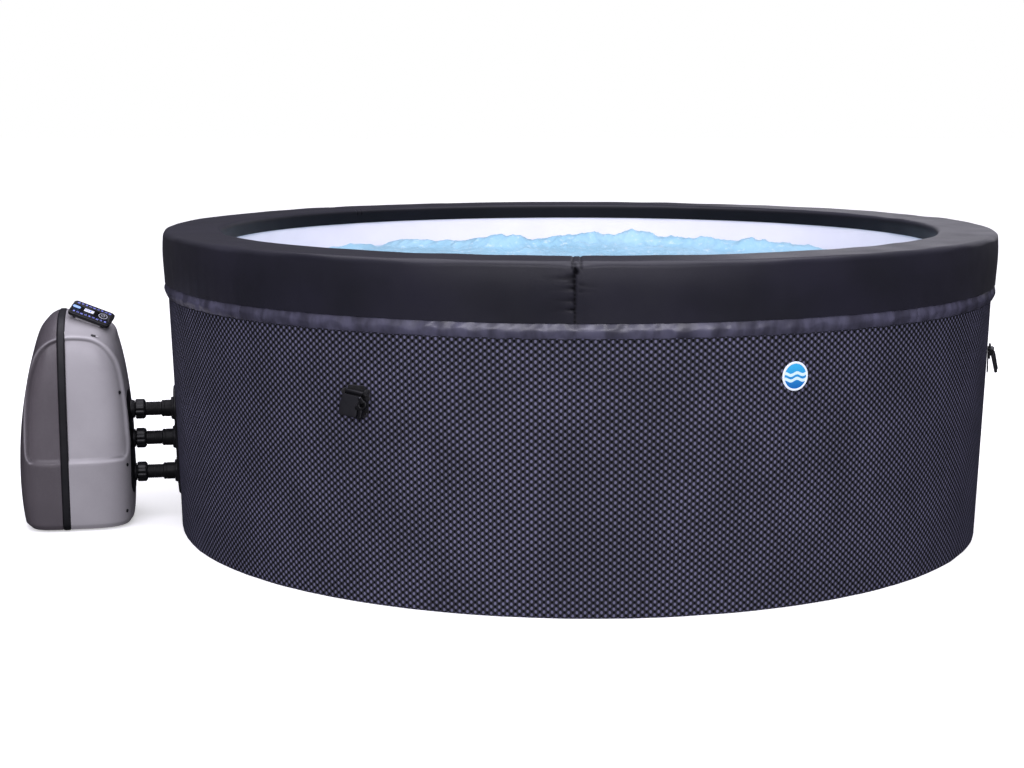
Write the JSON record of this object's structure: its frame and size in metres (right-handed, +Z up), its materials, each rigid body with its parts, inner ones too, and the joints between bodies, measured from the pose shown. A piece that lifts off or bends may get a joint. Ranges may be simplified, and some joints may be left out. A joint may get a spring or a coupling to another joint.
{
  "type": "portable hot tub",
  "caption": "Round soft-sided portable hot tub with foam walls and rim, joined by hoses to a free-standing pump and heater unit with a tilting control head.",
  "frame": {"origin": "centre of the tub's base, on the ground", "axes": "+Z up, -X towards the pump unit, -Y towards the front with the badge"},
  "size_m": [2.3192, 1.963, 0.7],
  "materials": {
    "leatherette": "matte grained leatherette",
    "hem_film": "glossy coated skirt fabric",
    "jacket_weave": "printed woven laminate",
    "foam": "closed-cell foam",
    "pad_foam": "ribbed foam mat",
    "liner_film": "white laminated film",
    "webbing": "woven webbing",
    "black_plastic": "textured moulding",
    "gloss_fascia": "glossy screen panel",
    "shell_dark": "satin metallic grey moulding",
    "shell_light": "satin metallic grey moulding",
    "rubber_black": "moulded rubber",
    "white_plastic": "gloss moulding",
    "filter_paper": "pleated paper",
    "motor_paint": "satin paint",
    "steel": "brushed",
    "board": "coated circuit board",
    "badge_print": "moulded badge",
    "key_blue": "back-lit key"
  },
  "bodies": {
    "root": {"floor_pad": "pad_foam", "outer_jacket": "jacket_weave", "wall_foam_1": "foam", "wall_foam_2": "foam", "wall_foam_3": "foam", "wall_foam_4": "foam", "liner": "liner_film", "bubble_ring": "liner_film", "rim_foam_1": "foam", "rim_foam_2": "foam", "rim_foam_3": "foam", "rim_foam_4": "foam", "rim_foam_5": "foam", "rim_foam_6": "foam", "rim_foam_7": "foam", "rim_foam_8": "foam", "rim_cover": "leatherette", "hem_band": "hem_film", "badge": "badge_print", "strap_patch_1": "webbing", "strap_patch_2": "webbing", "strap_patch_3": "webbing", "strap_patch_4": "webbing", "drain_valve": "black_plastic", "port_plate": "black_plastic", "tub_port_air": "white_plastic", "tub_port_return": "white_plastic", "tub_port_suction": "white_plastic", "hose_air": "rubber_black", "hose_return": "rubber_black", "hose_suction": "rubber_black", "filter_cartridge": "filter_paper", "shell_outer": "shell_dark", "shell_tub_side": "shell_light", "seam_band": "rubber_black", "port_panel": "black_plastic", "pump_base": "rubber_black", "pump_motor": "motor_paint", "pump_volute": "black_plastic", "heater_tube": "steel", "blower_housing": "black_plastic", "suction_pipe": "rubber_black", "return_pipe": "rubber_black", "air_pipe": "rubber_black", "control_board": "board"},
    "nut_air": {"union_nut_air": "black_plastic"},
    "nut_return": {"union_nut_return": "black_plastic"},
    "nut_suction": {"union_nut_suction": "black_plastic"},
    "strap_buckle_1": {"buckle_1": "black_plastic"},
    "strap_buckle_2": {"buckle_2": "black_plastic"},
    "strap_buckle_3": {"buckle_3": "black_plastic"},
    "strap_buckle_4": {"buckle_4": "black_plastic"},
    "drain_cap_body": {"drain_cap": "black_plastic"},
    "filter_cup_body": {"filter_cup": "white_plastic"},
    "impeller": {"pump_impeller": "white_plastic"},
    "fan": {"blower_fan": "white_plastic"},
    "head": {"control_head": "black_plastic", "control_fascia": "gloss_fascia"},
    "power_key": {"power_button": "white_plastic"},
    "select_key": {"select_button": "key_blue"}
  },
  "joints": [
    {"name": "union_nut_air_turn", "type": "hinge", "parent": "root", "child": "nut_air", "pos_m": [-1.03541, -0.15773, 0.272], "axis": [0.9781, 0.2079, 0], "range_deg": [0, 540]},
    {"name": "union_nut_return_turn", "type": "hinge", "parent": "root", "child": "nut_return", "pos_m": [-1.03541, -0.15773, 0.202], "axis": [0.9781, 0.2079, 0], "range_deg": [0, 540]},
    {"name": "union_nut_suction_turn", "type": "hinge", "parent": "root", "child": "nut_suction", "pos_m": [-1.03541, -0.15773, 0.12], "axis": [0.9781, 0.2079, 0], "range_deg": [0, 540]},
    {"name": "buckle_1_swing", "type": "hinge", "parent": "root", "child": "strap_buckle_1", "pos_m": [-0.4331, -0.87632, 0.433], "axis": [-0.8965, 0.4431, 0], "range_deg": [-12, 130]},
    {"name": "buckle_2_swing", "type": "hinge", "parent": "root", "child": "strap_buckle_2", "pos_m": [0.95089, -0.22653, 0.433], "axis": [-0.2317, -0.9728, 0], "range_deg": [-12, 130]},
    {"name": "buckle_3_swing", "type": "hinge", "parent": "root", "child": "strap_buckle_3", "pos_m": [0.29719, 0.93123, 0.433], "axis": [0.9527, -0.304, 0], "range_deg": [-12, 130]},
    {"name": "buckle_4_swing", "type": "hinge", "parent": "root", "child": "strap_buckle_4", "pos_m": [-0.90632, 0.36618, 0.433], "axis": [0.3746, 0.9272, 0], "range_deg": [-12, 130]},
    {"name": "drain_cap_turn", "type": "hinge", "parent": "root", "child": "drain_cap_body", "pos_m": [-0.4875, 0.84437, 0.07], "axis": [-0.5, 0.866, 0], "range_deg": [0, 540]},
    {"name": "filter_cup_turn", "type": "hinge", "parent": "root", "child": "filter_cup_body", "pos_m": [-0.84076, -0.11636, 0.12], "axis": [0.9781, 0.2079, 0], "range_deg": [0, 60]},
    {"name": "impeller_spin", "type": "hinge", "parent": "root", "child": "impeller", "pos_m": [-1.1674, -0.10911, 0.062], "axis": [-0.2079, 0.9781, 0], "continuous": true},
    {"name": "blower_spin", "type": "hinge", "parent": "root", "child": "fan", "pos_m": [-1.21246, -0.11358, 0.3], "axis": [0, 0, 1], "continuous": true},
    {"name": "control_head_tilt", "type": "hinge", "parent": "root", "child": "head", "pos_m": [-1.1404, -0.20649, 0.48837], "axis": [0.9317, 0.0586, -0.3584], "range_deg": [-15, 30]},
    {"name": "power_button_press", "type": "slide", "parent": "head", "child": "power_key", "axis": [-0.353, 0.3773, -0.8561], "range_m": [0, 0.0008], "stiffness_N_per_m": 200, "springref_m": -0.0008},
    {"name": "select_button_press", "type": "slide", "parent": "head", "child": "select_key", "axis": [-0.353, 0.3773, -0.8561], "range_m": [0, 0.0008], "stiffness_N_per_m": 200, "springref_m": -0.0008}
  ]
}
